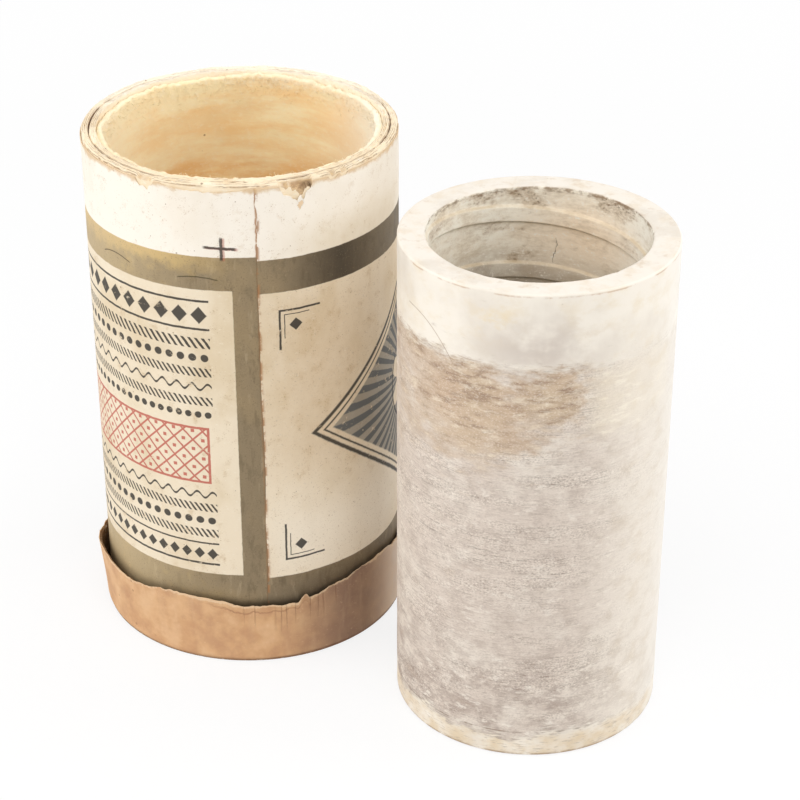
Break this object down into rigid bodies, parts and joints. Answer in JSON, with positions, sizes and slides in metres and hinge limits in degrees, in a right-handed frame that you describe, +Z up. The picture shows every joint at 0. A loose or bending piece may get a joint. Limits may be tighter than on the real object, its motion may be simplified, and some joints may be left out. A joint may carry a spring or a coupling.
{
  "type": "phonograph cylinder",
  "caption": "Hollow wax phonograph cylinder with a tapered, spiral-ribbed bore, standing beside its fleece-lined round cardboard carton with a loose lower cap.",
  "frame": {"origin": "on the record's axis, at the surface that the record and the carton stand on", "axes": "+Z up along the record's axis, +X from the carton's axis to the record's axis"},
  "size_m": [0.1346, 0.0684, 0.1133],
  "materials": {
    "wax": "matte grooved wax with a pale bloom",
    "tube_board": "raw strawboard",
    "fleece": "napped cotton fleece",
    "label_paper": "printed paper, worn",
    "cap_board": "raw board",
    "cap_paper": "creased brown paper"
  },
  "bodies": {
    "cap": {"cap_skirt": "cap_board", "cap_board": "cap_board", "cap_paper": "cap_paper"},
    "carton": {"outer_tube": "tube_board", "inner_tube": "tube_board", "fleece_lining": "fleece", "base_board": "tube_board", "base_pad": "fleece", "label_wrap": "label_paper"},
    "record": {"wax_record": "wax"}
  },
  "joints": [
    {"name": "carton_pull", "type": "slide", "parent": "cap", "child": "carton", "axis": [0, 0, 1], "range_m": [0, 0.03]},
    {"name": "record_lift", "type": "slide", "parent": "cap", "child": "record", "axis": [0, 0, 1], "range_m": [0, 0.12]}
  ]
}
